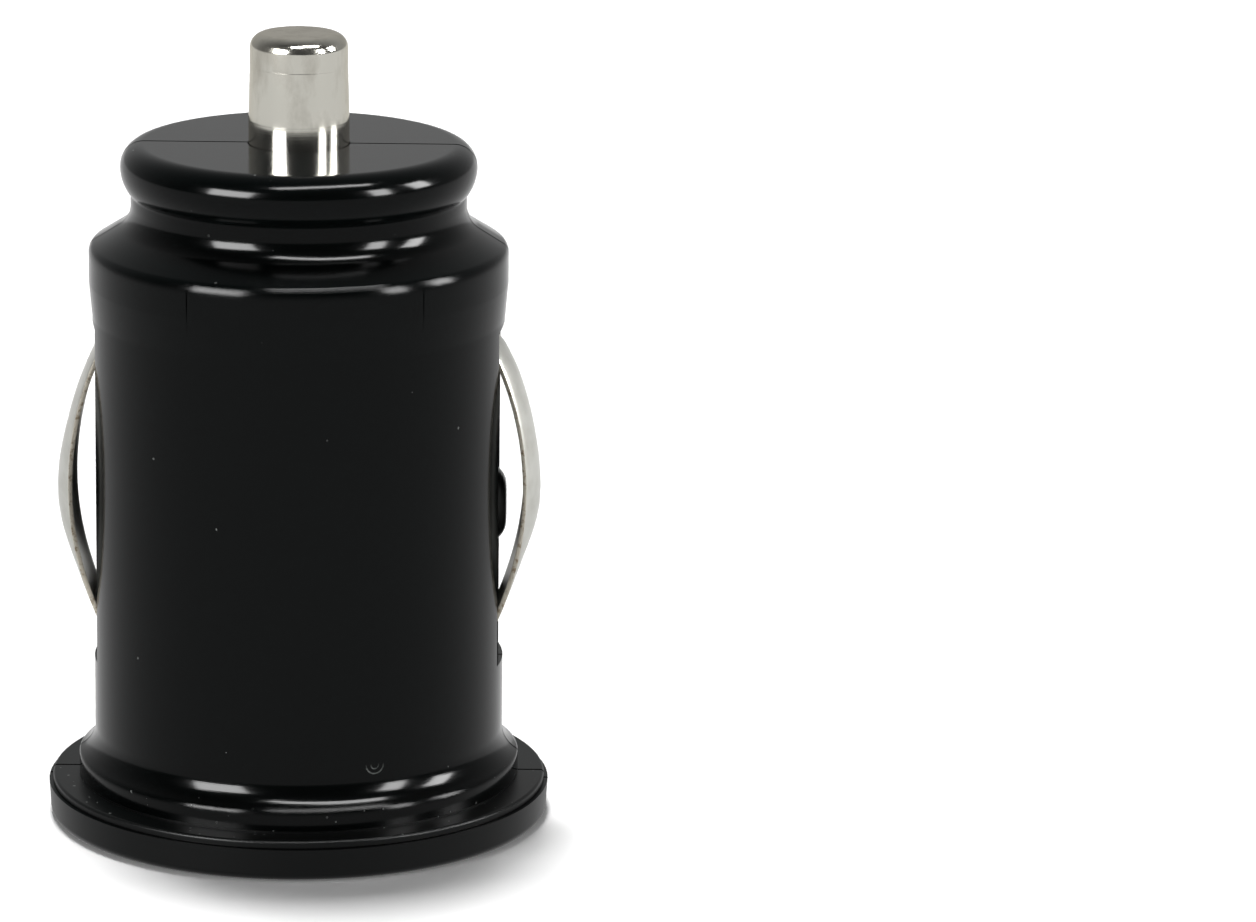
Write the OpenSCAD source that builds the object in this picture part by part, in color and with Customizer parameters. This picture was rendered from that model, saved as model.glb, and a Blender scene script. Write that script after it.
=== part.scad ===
// Two-port USB charger for a car's lighter socket, standing on its face with the centre pin up.
// The origin is the middle of the face. +Z runs along the axis to the pin, X through the two
// side contacts and Y across the two ports. Lengths are in millimetres.

/* [Body] */
// Radius of the plain cylinder that slides into the lighter socket
body_r = 10.26; // [10.2:0.02:10.4]
// Wall of the half shells
wall_t = 1.2; // [1.1:0.05:1.3]
// Gap between the two half shells at the parting plane
seam_gap = 0.08; // [0.04:0.02:0.12]
// Height where the slightly wider band under the shoulder begins
band_z = 27.4; // [27.2:0.05:27.8]
// How much the band stands out from the cylinder below it
band_step = 0.16; // [0.16:0.01:0.2]
// Length of the taper that leads up to the band
band_run = 1.8; // [1.4:0.1:2]
// Height where the band ends and the shoulder's edge begins
shoulder_z = 28.9; // [28.6:0.05:29.2]
// Slope of the shoulder below the level, in degrees
shoulder_slope = 32; // [29:1:35]
// Rounding of the shoulder's edge
shoulder_edge_r = 0.5; // [0.3:0.05:0.7]
// How much less the neck's radius is than the cylinder's
neck_step = 1.93; // [1.8:0.01:2.05]
// Radius of the hollow between the shoulder and the neck
neck_cove_r = 1.3; // [1.1:0.05:1.4]
// Depth of the inner taper's start below the shoulder
taper_drop = 0.7; // [0.5:0.05:0.9]
// Half of the thickness of the ribs at the parting plane
rib_t = 1.2; // [1:0.05:1.4]
// Height of those ribs
rib_h = 4; // [3.6:0.1:4.4]
// Radius of the locating pegs
peg_r = 0.5; // [0.45:0.01:0.55]
// Clearance round a locating peg
peg_gap = 0.05; // [0.04:0.01:0.08]
// How far the locating pegs stand beyond the parting plane
peg_l = 0.75; // [0.6:0.05:0.9]
// Distance of the pegs below the top disc
peg_drop = 2; // [1.8:0.1:2.2]
// Length of the rails beside a contact's tabs
rail_l = 2.2; // [2:0.1:2.4]
// Thickness of those rails
rail_t = 0.7; // [0.6:0.05:0.8]
// How far those rails reach inwards past a tab's outer side
rail_reach = 1.6; // [1.2:0.1:1.7]
// Width of the shelves that carry the socket board
shelf_w = 6; // [5.5:0.1:6.5]
// Thickness of those shelves
shelf_h = 1; // [0.9:0.05:1.2]

/* [Top disc] */
// How far the top disc stands out beyond the neck
disc_overhang = 0.51; // [0.45:0.01:0.6]
// Height of the top disc's flat face
disc_top_z = 34.33; // [34.3:0.02:34.6]
// Radius of the top disc's edge above its widest line
disc_edge_r = 1.15; // [1:0.05:1.25]
// Radius of the top disc's edge below its widest line
disc_under_r = 2.1; // [1.8:0.05:2.2]
// Thickness of the top disc over the pin's collar
disc_t = 1.5; // [1.3:0.05:1.7]

/* [Foot] */
// How far the face cap's rim stands out beyond the ring, at its widest
rim_overhang = 1.53; // [1.45:0.01:1.8]
// Draft of the rim: how much less its radius is at the face
rim_draft = 0.07; // [0.03:0.01:0.12]
// Height of the face cap's rim
rim_h = 1.65; // [1.6:0.05:1.75]
// Height of the flange's upper face
flange_h = 2.05; // [2:0.05:2.2]
// How far the half shells' lip stands back from the rim
lip_setback = 0.2; // [0.15:0.05:0.3]
// Rounding of the lip's edge
lip_edge_r = 0.15; // [0.1:0.01:0.2]
// How far the half shells' nested step stands back from the rim
nest_setback = 0.7; // [0.6:0.05:0.9]
// Thickness of the face cap's plate
face_t = 1.15; // [1.05:0.05:1.2]
// Rounding of the face's outer edge
face_edge_r = 0.45; // [0.3:0.05:0.5]
// How much less the radius of the face cap's spigot is than the cylinder's
spigot_inset = 0.02; // [0:0.01:0.06]
// Height of the spigot's upper end
spigot_z = 2.9; // [2.8:0.02:2.96]
// How far the ring above the flange stands out from the cylinder
ring_step = 0.81; // [0.76:0.01:0.94]
// Height of the ring's upper edge
ring_z = 3.2; // [3.15:0.01:3.3]
// Rounding of the ring's upper edge
ring_edge_r = 0.15; // [0.1:0.01:0.2]
// Radius of the hollow flare from the ring up to the cylinder
flare_r = 1.5; // [1.4:0.05:1.7]

/* [Side contacts] */
// Width of each slot
slot_w = 4.5; // [4.3:0.05:4.6]
// Lower end of the slots
slot_z0 = 8.1; // [7.9:0.05:8.3]
// Upper end of the slots
slot_z1 = 25; // [24.9:0.05:25.2]
// Chamfer of the slots' upper end
slot_chamfer = 0.5; // [0.3:0.05:0.6]
// Height of the middle of the side contacts
contact_z = 17.05; // [16.9:0.05:17.2]
// Width of a contact strip
strip_w = 3.8; // [3.6:0.05:3.9]
// Thickness of the strip's sheet
strip_t = 0.3; // [0.25:0.01:0.3]
// How far the arched strip stands out from the cylinder, beside its pressed bump
bow_rise = 1.16; // [1.12:0.02:1.24]
// Radius of the strip's arch
bow_r = 16.66; // [16:0.1:17.4]
// Half of the arch's length along the body
bow_half = 6.9; // [6.7:0.05:7]
// Lean of the legs between the arch and the tabs, in degrees from upright
leg_lean = 60; // [55:1:64]
// Distance from the wall's inner side to the tabs that lie behind it
tab_gap = 0.51; // [0.46:0.01:0.6]
// Half of the whole contact's length along the body
tab_half = 9.85; // [9.6:0.05:10]
// Height of the bump pressed out of the strip
bump_h = 0.68; // [0.6:0.02:0.7]
// Radius of the bump across the strip
bump_across_r = 1.7; // [1.5:0.05:1.8]
// Radius of the bump along the strip
bump_along_r = 9; // [8.6:0.1:9.4]

/* [Centre pin] */
// Radius of the centre pin
pin_r = 2.47; // [2.4:0.01:2.52]
// Height of the pin's end
pin_top_z = 39.85; // [39.4:0.05:40.4]
// Height of the fine turned line below the pin's end
pin_line_z = 38.5; // [38.2:0.05:38.8]
// Radius of the pin's nose above the turned line
nose_r = 2.4; // [2.34:0.01:2.4]
// Rounding of the pin's end
pin_edge_r = 0.72; // [0.5:0.02:0.9]
// Radius of the collar that holds the pin in
collar_r = 3.3; // [3.2:0.02:3.4]
// Thickness of the collar
collar_t = 1; // [0.9:0.05:1.1]
// Running clearance round the pin and its collar
pin_gap = 0.08; // [0.05:0.01:0.1]
// Length of the tube that guides the collar and holds the spring
guide_l = 10.8; // [10.6:0.05:11]
// Wall of the guide tube
guide_wall = 1.2; // [1:0.05:1.3]
// Thickness of the ledge at the guide tube's lower end
ledge_t = 0.8; // [0.7:0.05:0.9]
// Width of that ledge
ledge_w = 0.75; // [0.65:0.05:0.8]
// Radius of the spring's wire
wire_r = 0.2; // [0.16:0.01:0.22]
// Mean radius of the spring
coil_r = 2.45; // [2.4:0.01:2.6]
// Turns of the spring
coil_turns = 7; // [6:0.5:8]
// Thickness of the pressed seat under the spring
terminal_t = 0.4; // [0.35:0.05:0.5]
// Width of that seat's leg
terminal_leg_w = 2; // [1.6:0.1:2.4]
// Gap between the leg's lower end and the input capacitor
terminal_leg_gap = 0.7; // [0.5:0.05:0.9]
// Length of the stub under the collar that centres the spring
stub_l = 2; // [1.8:0.1:2.2]
// Gap between the stub and the spring's wire
stub_gap = 0.3; // [0.25:0.01:0.4]
// Chamfer of the stub's end
stub_chamfer = 0.3; // [0.2:0.05:0.4]

/* [USB ports] */
// Distance between the middles of the two ports
port_pitch = 8.4; // [8.3:0.02:8.44]
// Distance from a socket's opening to the ends of its recess
recess_end = 0.8; // [0.75:0.05:0.85]
// Distance from a socket's opening to the long sides of its recess
recess_side = 0.84; // [0.8:0.01:0.88]
// Corner radius of a recess
recess_corner_r = 1.3; // [1.2:0.05:1.5]
// Bevel round a recess at the face
recess_bevel = 0.18; // [0.1:0.02:0.2]
// Depth of a recess, and height of the sockets' open ends
recess_z = 2.2; // [2.1:0.05:2.3]
// Long side of a socket's opening
socket_l = 12.5; // [12.4:0.05:12.6]
// Short side of a socket's opening
socket_w = 5.12; // [5.08:0.02:5.16]
// Sheet of the socket's metal shell
socket_t = 0.3; // [0.25:0.01:0.3]
// Depth of a socket
socket_depth = 10.4; // [10.2:0.05:10.6]
// Gap between the tongue's ends and the shell
tongue_side = 0.7; // [0.65:0.01:0.75]
// Thickness of a socket's tongue
tongue_t = 1.84; // [1.8:0.01:1.88]
// Gap between the tongue's back and the shell
tongue_gap = 0.72; // [0.68:0.01:0.76]
// How far the tongue stands behind the shell's edge
tongue_setback = 1.4; // [1.2:0.05:1.6]
// Clearance round a socket in the cap and the half shells
socket_gap = 0.14; // [0.12:0.01:0.16]
// Outer corner radius of a socket's shell
shell_corner_r = 0.7; // [0.6:0.05:0.8]
// Width of a window in the shell's wide walls
window_w = 2.6; // [2.4:0.05:2.8]
// Height of such a window
window_h = 5.2; // [5:0.05:5.4]
// Distance of a window from the shell's open end
window_z = 2.6; // [2.4:0.05:2.8]
// Distance between the middles of the two windows in a wall
window_pitch = 6.2; // [6:0.1:6.4]
// Width of the spring finger in a window
finger_w = 1.6; // [1.4:0.05:1.8]
// Length of that finger
finger_l = 4.5; // [4.2:0.05:4.6]
// Radius of the dimple pressed into a finger
dimple_r = 0.5; // [0.4:0.05:0.6]
// Distance of the dimple from the finger's free end
dimple_setback = 0.9; // [0.8:0.05:1]
// Width of a shell's two legs
shell_leg_w = 1.4; // [1.2:0.05:1.6]
// Chamfer of the tongue's free edges
tongue_chamfer = 0.35; // [0.25:0.05:0.45]
// Height of the tongue's moulded base
tongue_base_h = 1.7; // [1.5:0.05:1.9]
// Gap round that base
tongue_base_gap = 0.05; // [0.04:0.01:0.08]
// Width of a contact's groove in the tongue
groove_w = 1.3; // [1.2:0.05:1.4]
// Depth of that groove
groove_t = 0.5; // [0.45:0.01:0.55]
// Distance between the two inner contacts of a socket
inner_pitch = 2; // [1.9:0.05:2.1]
// Distance from an inner contact to the outer one beside it
outer_pitch = 2.5; // [2.4:0.05:2.6]
// Sheet of the sockets' contacts
blade_t = 0.25; // [0.2:0.01:0.28]
// Gap on both sides of a contact in its groove
blade_gap = 0.15; // [0.1:0.01:0.2]
// How far a contact bows out of its groove
blade_bow = 0.55; // [0.45:0.05:0.6]
// Distance of a contact's free end behind the tongue's end
blade_setback = 1.5; // [1.3:0.05:1.7]
// Length of a contact's bowed part
blade_bow_l = 4.2; // [4:0.1:4.4]
// How far the soldered pins stand out above the socket board
pin_out = 0.3; // [0.2:0.05:0.35]

/* [Electronics] */
// Thickness of the board that carries the sockets
port_board_t = 1; // [0.9:0.05:1.1]
// Gap between the socket board and the wall
port_board_gap = 0.26; // [0.2:0.01:0.35]
// How far both boards reach beyond a socket's end towards the side contacts
board_margin = 0.65; // [0.55:0.05:0.7]
// Clearance round a pin in the socket board
pin_hole_gap = 0.1; // [0.08:0.01:0.12]
// Thickness of the upright power board
power_board_t = 0.8; // [0.7:0.05:1]
// Distance from the axis to the front of the upright power board
power_board_y = 2.25; // [2.2:0.05:2.4]
// Radius of the input capacitor that shows in the right slot
input_cap_r = 2.05; // [1.9:0.05:2.1]
// Rounding of the input capacitor's end
input_cap_edge_r = 1.15; // [1:0.05:1.3]
// Length of the input capacitor
input_cap_l = 10.9; // [10:0.1:11.2]
// How far the input capacitor's end stands out of the right slot
input_cap_out = 0.14; // [0:0.02:0.14]
// Height of the input capacitor's axis
input_cap_z = 16; // [15.8:0.05:16.2]
// Radius of the output capacitor
output_cap_r = 2.5; // [2.3:0.05:2.6]
// Length of the output capacitor
output_cap_l = 8; // [7:0.1:8.4]
// Rounding of the output capacitor's end
output_cap_edge_r = 0.4; // [0.3:0.05:0.5]
// Gap between the output capacitor and the pins below it
output_cap_gap = 0.1; // [0.08:0.01:0.15]
// Side of both capacitors' leads
cap_lead_t = 0.45; // [0.4:0.01:0.5]
// Length of a lead before its bend
cap_lead_l = 0.9; // [0.8:0.05:1]
// Half of the distance between a capacitor's two leads
cap_lead_pitch = 1; // [0.9:0.05:1.1]
// Radius of the choke's flanges
choke_r = 3; // [2.7:0.05:3.1]
// Length of the choke
choke_l = 4.5; // [4.2:0.05:4.7]
// Thickness of the choke's flanges
choke_flange_t = 0.8; // [0.7:0.05:0.9]
// Depth of the winding below the flanges' edge
winding_drop = 0.4; // [0.3:0.05:0.5]
// Gap between the choke and the pins below it
choke_gap = 0.15; // [0.1:0.01:0.2]
// Distance of the choke from the axis towards the left contact
choke_offset = 1.5; // [1.4:0.05:1.6]
// Width of the regulator chip
chip_w = 4.9; // [4.7:0.05:4.9]
// Thickness of the regulator chip
chip_t = 1.35; // [1.2:0.05:1.5]
// Height of the regulator chip
chip_h = 3.9; // [3.7:0.05:4]
// Distance between the chip's legs
chip_pitch = 1.27; // [1.2:0.01:1.3]
// Width of a leg of the chip
chip_leg_w = 0.4; // [0.35:0.01:0.45]
// Thickness of a leg of the chip
chip_leg_t = 0.3; // [0.25:0.01:0.35]
// Length of a leg of the chip
chip_leg_l = 0.75; // [0.7:0.01:0.8]
// Gap between the chip and its board
chip_stand = 0.15; // [0.12:0.01:0.2]
// Distance of the chip from the board's edge
chip_edge = 0.1; // [0.1:0.01:0.2]
// Distance of the chip's legs from the socket board
chip_rise = 0.4; // [0.3:0.05:0.6]
// Width of the catch diode
diode_w = 4.3; // [4.2:0.05:4.4]
// Thickness of the catch diode
diode_t = 1.9; // [1.8:0.05:1.95]
// Height of the catch diode
diode_h = 2.6; // [2.4:0.05:2.7]
// Length of the catch diode's two tabs
diode_tab_l = 0.6; // [0.5:0.05:0.65]
// Height of those tabs
diode_tab_h = 1.4; // [1.3:0.05:1.5]
// Distance of the catch diode below the guide tube
diode_drop = 0.6; // [0.5:0.05:0.7]
// Width of a chip resistor
resistor_w = 2; // [1.9:0.05:2.1]
// Thickness of a chip resistor
resistor_t = 0.5; // [0.4:0.05:0.6]
// Height of a chip resistor
resistor_h = 1.25; // [1.2:0.01:1.3]
// Distance of the lower chip resistor from the socket board
resistor_rise = 1; // [0.9:0.05:1.1]
// Distance between the two chip resistors
resistor_pitch = 2; // [1.9:0.05:2.1]
// Distance of the chip resistors from the board's edge
resistor_edge = 1.6; // [1.5:0.05:1.7]

/* [Hidden] */
$fn = 96;
tiny = 0.01;
// Gap left where one piece rests on, or is soldered to, the next
seat = 0.04;
// Loose fit between moulded pieces
fit = 0.1;

plastic = [0.1, 0.11, 0.11];
nickel = [0.78, 0.76, 0.72];
brass = [0.83, 0.68, 0.38];
tin = [0.66, 0.64, 0.6];
board_green = [0.1, 0.36, 0.2];

// Housing
band_r = body_r + band_step;
ring_r = body_r + ring_step;
flange_r = ring_r + rim_overhang;
neck_r = body_r - neck_step;
disc_r = neck_r + disc_overhang;
spigot_r = body_r - spigot_inset;
cavity_r = body_r - wall_t;
neck_cavity_r = neck_r - wall_t;
lip_r = flange_r - lip_setback;
nest_r = flange_r - nest_setback;
bore_r = spigot_r + fit;
bore_z = spigot_z + fit;
disc_mid_z = disc_top_z - disc_edge_r;
ceiling_z = disc_top_z - disc_t;

// Side contacts
tab_x = cavity_r - tab_gap;
bow_reach = body_r + bow_rise;

// Pin, spring and guide tube
guide_r = collar_r + pin_gap;
tube_r = guide_r + guide_wall;
tube_z = ceiling_z - guide_l;
ledge_hole_r = guide_r - ledge_w;
terminal_z = tube_z + ledge_t + seat;
collar_top_z = ceiling_z - seat;
collar_z = collar_top_z - collar_t;

// Sockets and boards
port_y = port_pitch / 2;
shell_l = socket_l + 2 * socket_t;
shell_w = socket_w + 2 * socket_t;
opening_l = shell_l + 2 * socket_gap;
opening_w = shell_w + 2 * socket_gap;
opening_corner_r = shell_corner_r + socket_gap;
recess_l = socket_l + 2 * recess_end;
recess_w = socket_w + 2 * recess_side;
tongue_l = socket_l - 2 * tongue_side;
port_board_z = recess_z + socket_depth;
port_board_top = port_board_z + port_board_t;
port_board_r = cavity_r - port_board_gap;
board_half = shell_l / 2 + board_margin;
power_board_back = power_board_y + power_board_t;
tongue_y = -socket_w / 2 + tongue_gap + tongue_t / 2;
groove_y = tongue_y + tongue_t / 2 - groove_t;
outer_x = inner_pitch / 2 + outer_pitch;
contact_xs = [-outer_x, -inner_pitch / 2, inner_pitch / 2, outer_x];
blade_w = groove_w - 2 * blade_gap;
blade_y = groove_y + blade_t + seat;
pin_w = blade_w / 2;
pin_length = port_board_t + pin_out;
pins_top = port_board_top + pin_out;
leg_x = (socket_l + socket_t) / 2;
input_cap_reach = body_r + input_cap_out;

// Points of an arc about (x, z), from angle a0 to a1 in equal parts
function arc(x, z, r, a0, a1, steps) =
    [for (i = [0:steps]) let (a = a0 + (a1 - a0) * i / steps) [x + r * cos(a), z + r * sin(a)]];

// The same points without repeats where one arc runs into the next
function joined(points) =
    [for (i = [0:len(points) - 1]) if (i == 0 || norm(points[i] - points[i - 1]) > 0.001) points[i]];

// A bent line moved to its right-hand side by the sheet's thickness, mitred at each bend
function heading(line, i) = let (v = line[i] - line[i - 1]) v / norm(v);
function to_right(v) = [v[1], -v[0]];
function sheet_side(line, t) = [for (i = [0:len(line) - 1])
    let (
        before = to_right(heading(line, max(i, 1))),
        after = to_right(heading(line, min(i + 1, len(line) - 1))),
        middle = (before + after) / norm(before + after)
    ) line[i] + middle * t / (middle * before)];

function reversed(line) = [for (i = [len(line) - 1:-1:0]) line[i]];

// Closed outline of a bent sheet
module bent_sheet(line, t) {
    polygon(concat(line, reversed(sheet_side(line, t))));
}

// Flat rounded bar, long side on X
module rounded_bar(l, w, r) {
    square([l - 2 * r, w], center = true);
    square([l, w - 2 * r], center = true);
    for (x = [-1, 1], y = [-1, 1]) {
        translate([x * (l / 2 - r), y * (w / 2 - r)]) circle(r);
    }
}

// Outline of both half shells together, from the nested step up to the flat top of the disc
module shell_outline() {
    ring_turn = acos((body_r + flare_r - ring_r + ring_edge_r) / (flare_r + ring_edge_r));
    flare_z = ring_z - ring_edge_r + (flare_r + ring_edge_r) * sin(ring_turn);
    turn = 90 - shoulder_slope;
    edge_end = [band_r - shoulder_edge_r * (1 - cos(turn)), shoulder_z + shoulder_edge_r * sin(turn)];
    cove_start_x = neck_r + neck_cove_r * (1 - cos(turn));
    cove_z = edge_end[1] + (edge_end[0] - cove_start_x) * tan(shoulder_slope) + neck_cove_r * sin(turn);
    under_x = disc_r - disc_under_r;
    under_turn = acos((neck_r - under_x) / disc_under_r);
    polygon(joined(concat(
        [[0, face_t + seat], [nest_r, face_t + seat], [nest_r, rim_h + seat], [lip_r, rim_h + seat]],
        arc(lip_r - lip_edge_r, flange_h - lip_edge_r, lip_edge_r, 0, 90, 6),
        [[ring_r, flange_h]],
        arc(ring_r - ring_edge_r, ring_z - ring_edge_r, ring_edge_r, 0, ring_turn, 6),
        arc(body_r + flare_r, flare_z, flare_r, 180 + ring_turn, 180, 22),
        [[body_r, band_z - band_run], [band_r, band_z]],
        arc(band_r - shoulder_edge_r, shoulder_z, shoulder_edge_r, 0, turn, 12),
        arc(neck_r + neck_cove_r, cove_z, neck_cove_r, 180 + turn, 180, 22),
        arc(under_x, disc_mid_z, disc_under_r, -under_turn, 0, 18),
        arc(disc_r - disc_edge_r, disc_mid_z, disc_edge_r, 0, 90, 32),
        [[0, disc_top_z]]
    )));
}

// Hollow of the half shells: spigot bore, wide bore, neck, guide tube with its ledge, pin hole
module cavity_outline() {
    taper_z = shoulder_z - taper_drop;
    taper_top_z = taper_z + (cavity_r - neck_cavity_r) * tan(shoulder_slope);
    polygon([
        [0, face_t],
        [bore_r, face_t],
        [bore_r, bore_z],
        [cavity_r, bore_z],
        [cavity_r, taper_z],
        [neck_cavity_r, taper_top_z],
        [neck_cavity_r, ceiling_z],
        [tube_r, ceiling_z],
        [tube_r, tube_z],
        [ledge_hole_r, tube_z],
        [ledge_hole_r, tube_z + ledge_t],
        [guide_r, tube_z + ledge_t],
        [guide_r, ceiling_z],
        [pin_r + pin_gap, ceiling_z],
        [pin_r + pin_gap, disc_top_z + 1],
        [0, disc_top_z + 1]
    ]);
}

peg_x = (tube_r + neck_cavity_r) / 2;
peg_z = ceiling_z - peg_drop;
// How deep ribs, rails and shelves run into the wall they stand on
rooted = 0.3;

// Ribs at the parting plane from the guide tube to the neck, which carry the locating pegs
module parting_ribs() {
    rib_w = neck_cavity_r - tube_r + 2 * rooted;
    for (side = [-1, 1]) {
        translate([side * peg_x - rib_w / 2, -rib_t, ceiling_z - rib_h]) {
            cube([rib_w, 2 * rib_t, rib_h + tiny]);
        }
    }
}

// Rails inside the wall that keep a contact's tabs in line with its slot
module tab_rails() {
    rail_w = cavity_r - tab_x + rail_reach;
    rail_y = (slot_w + rail_t + fit) / 2;
    for (x = [-1, 1], y = [-1, 1], z = [-1, 1]) {
        translate([x * (cavity_r - rail_w / 2), y * rail_y, contact_z + z * (tab_half - rail_l / 2)]) {
            cube([rail_w, rail_t, rail_l], center = true);
        }
    }
}

// Shelf under the edge of the port board
module board_shelf() {
    inner = port_y + opening_w / 2 + 2 * fit;
    outer = cavity_r + rooted;
    for (side = [-1, 1]) {
        translate([-shelf_w / 2, side > 0 ? inner : -outer, port_board_z - shelf_h - seat]) {
            cube([shelf_w, outer - inner, shelf_h]);
        }
    }
}

// Wedge that chamfers the upper end of the right slot
module slot_chamfer_cut() {
    translate([body_r, 0, slot_z1]) rotate([90, 0, 0]) linear_extrude(slot_w, center = true) {
        polygon([[-slot_chamfer, -tiny], [0, slot_chamfer], [1, slot_chamfer], [1, -tiny]]);
    }
}

// One half of the housing: way is -1 for the front half and 1 for the back half
module half_shell(way) {
    wide = 2 * flange_r;
    slot_in = tab_x - fit;
    color(plastic) {
        difference() {
            intersection() {
                union() {
                    difference() {
                        rotate_extrude() shell_outline();
                        rotate_extrude() cavity_outline();
                    }
                    parting_ribs();
                    tab_rails();
                    board_shelf();
                }
                translate([-wide, way < 0 ? -wide : seam_gap / 2, 0]) {
                    cube([2 * wide, wide - seam_gap / 2, pin_top_z]);
                }
            }
            slot_chamfer_cut();
            mirror([1, 0, 0]) slot_chamfer_cut();
            for (side = [-1, 1]) {
                translate([side > 0 ? slot_in : -ring_r, -slot_w / 2, slot_z0]) {
                    cube([ring_r - slot_in, slot_w, slot_z1 - slot_z0]);
                }
                translate([0, side * port_y, bore_z - tiny]) linear_extrude(port_board_top - bore_z + fit) {
                    rounded_bar(opening_l, opening_w, opening_corner_r);
                }
                if (way > 0) {
                    translate([side * peg_x, 0, peg_z]) {
                        rotate([-90, 0, 0]) cylinder(h = peg_l + fit, r = peg_r + peg_gap, $fn = 24);
                    }
                }
            }
        }
        if (way < 0) {
            for (side = [-1, 1]) {
                translate([side * peg_x, -rib_t / 2, peg_z]) {
                    rotate([-90, 0, 0]) cylinder(h = rib_t / 2 + peg_l, r = peg_r, $fn = 24);
                }
            }
        }
    }
}

module front_half_shell() {
    half_shell(-1);
}

module back_half_shell() {
    half_shell(1);
}

// Bevel round a recess: two crossing wedges, kept to the rounded outline
module recess_bevel_cut() {
    l = recess_l + 2 * recess_bevel;
    w = recess_w + 2 * recess_bevel;
    top = recess_bevel + tiny;
    intersection() {
        translate([0, 0, -tiny]) linear_extrude(top + tiny) rounded_bar(l, w, recess_corner_r + recess_bevel);
        rotate([90, 0, 0]) linear_extrude(w + 1, center = true) polygon([
            [-l / 2, 0], [-l / 2, -1], [l / 2, -1], [l / 2, 0], [l / 2 - top, top], [top - l / 2, top]
        ]);
        rotate([90, 0, 90]) linear_extrude(l + 1, center = true) polygon([
            [-w / 2, 0], [-w / 2, -1], [w / 2, -1], [w / 2, 0], [w / 2 - top, top], [top - w / 2, top]
        ]);
    }
}

// Face plate with its rim, and the spigot that holds the sockets' open ends
module face_cap() {
    face_r = flange_r - rim_draft;
    color(plastic) difference() {
        rotate_extrude() polygon(concat(
            [[0, 0]],
            arc(face_r - face_edge_r, face_edge_r, face_edge_r, -90, 0, 12),
            [
                [flange_r, rim_h],
                [nest_r + 0.05, rim_h],
                [nest_r + 0.05, face_t],
                [spigot_r, face_t],
                [spigot_r, spigot_z],
                [0, spigot_z]
            ]
        ));
        for (side = [-1, 1]) {
            translate([0, side * port_y, 0]) {
                recess_bevel_cut();
                translate([0, 0, recess_bevel]) linear_extrude(recess_z - recess_bevel) {
                    rounded_bar(recess_l, recess_w, recess_corner_r);
                }
                translate([0, 0, recess_z - tiny]) linear_extrude(spigot_z) {
                    rounded_bar(opening_l, opening_w, opening_corner_r);
                }
            }
        }
    }
}

// Turned centre pin: rounded nose, shaft, collar and the stub that centres the spring
module tip_pin() {
    stub_r = coil_r - wire_r - stub_gap;
    color(nickel) rotate_extrude() polygon(concat(
        [
            [0, collar_z - stub_l],
            [stub_r - stub_chamfer, collar_z - stub_l],
            [stub_r, collar_z - stub_l + stub_chamfer],
            [stub_r, collar_z],
            [collar_r, collar_z],
            [collar_r, collar_top_z],
            [pin_r, collar_top_z],
            [pin_r, pin_line_z],
            [nose_r, pin_line_z + pin_r - nose_r]
        ],
        arc(nose_r - pin_edge_r, pin_top_z - pin_edge_r, pin_edge_r, 0, 90, 24),
        [[0, pin_top_z]]
    ));
}

// Round wire swept along a helix whose first and last turns are closed
module tip_spring() {
    sides = 8;
    per_turn = 16;
    rings = coil_turns * per_turn;
    low = terminal_z + terminal_t + seat + wire_r;
    high = collar_z - seat - wire_r;
    closed = 2 * wire_r + tiny;
    pitch = (high - low - 2 * closed) / (coil_turns - 2);
    function rise(u) = u < 1 ? u * closed : u > coil_turns - 1
        ? high - low - (coil_turns - u) * closed
        : closed + (u - 1) * pitch;
    function ring(i) = let (u = i / per_turn, a = 360 * u) [for (k = [0:sides - 1])
        let (b = 360 * k / sides, r = coil_r + wire_r * cos(b))
        [r * cos(a), r * sin(a), low + rise(u) + wire_r * sin(b)]];
    points = [for (i = [0:rings]) each ring(i)];
    walls = [for (i = [0:rings - 1], k = [0:sides - 1])
        let (n = (k + 1) % sides)
        [i * sides + k, (i + 1) * sides + k, (i + 1) * sides + n, i * sides + n]];
    first = [for (k = [0:sides - 1]) k];
    last = [for (k = [sides - 1:-1:0]) rings * sides + k];
    color(tin) polyhedron(points = points, faces = concat(walls, [first, last]));
}

// Round pressed seat under the spring, with a leg soldered to the upright board
module spring_terminal() {
    leg_z = input_cap_z + input_cap_r + terminal_leg_gap;
    color(brass) {
        translate([0, 0, terminal_z]) cylinder(h = terminal_t, r = guide_r - fit);
        translate([-terminal_leg_w / 2, power_board_y - seat - terminal_t, leg_z]) {
            cube([terminal_leg_w, terminal_t, terminal_z + terminal_t / 2 - leg_z]);
        }
    }
}

// Outer line of a contact strip, from its upper tab over the arch to its lower tab
function bow_line() = let (
        a = asin(bow_half / bow_r),
        arch_x = bow_reach - bow_r,
        leg_x = arch_x + bow_r * cos(a),
        leg_half = bow_half + (leg_x - tab_x) / tan(leg_lean)
    ) concat(
        [[tab_x, contact_z + tab_half], [tab_x, contact_z + leg_half]],
        arc(arch_x, contact_z, bow_r, a, -a, 16),
        [[tab_x, contact_z - leg_half], [tab_x, contact_z - tab_half]]
    );

// Flat outline in X and Z, made as wide as a strip in Y
module strip_wide() {
    rotate([90, 0, 0]) linear_extrude(strip_w, center = true) children();
}

// Ring whose outer side is the curved face of the pressed bump
module bump_ring(shrink) {
    ring_mid = bump_along_r - bump_across_r;
    translate([bow_reach + bump_h - bump_along_r, 0, contact_z]) rotate([90, 0, 0]) {
        rotate_extrude() translate([ring_mid, 0]) circle(bump_across_r - shrink);
    }
}

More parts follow.
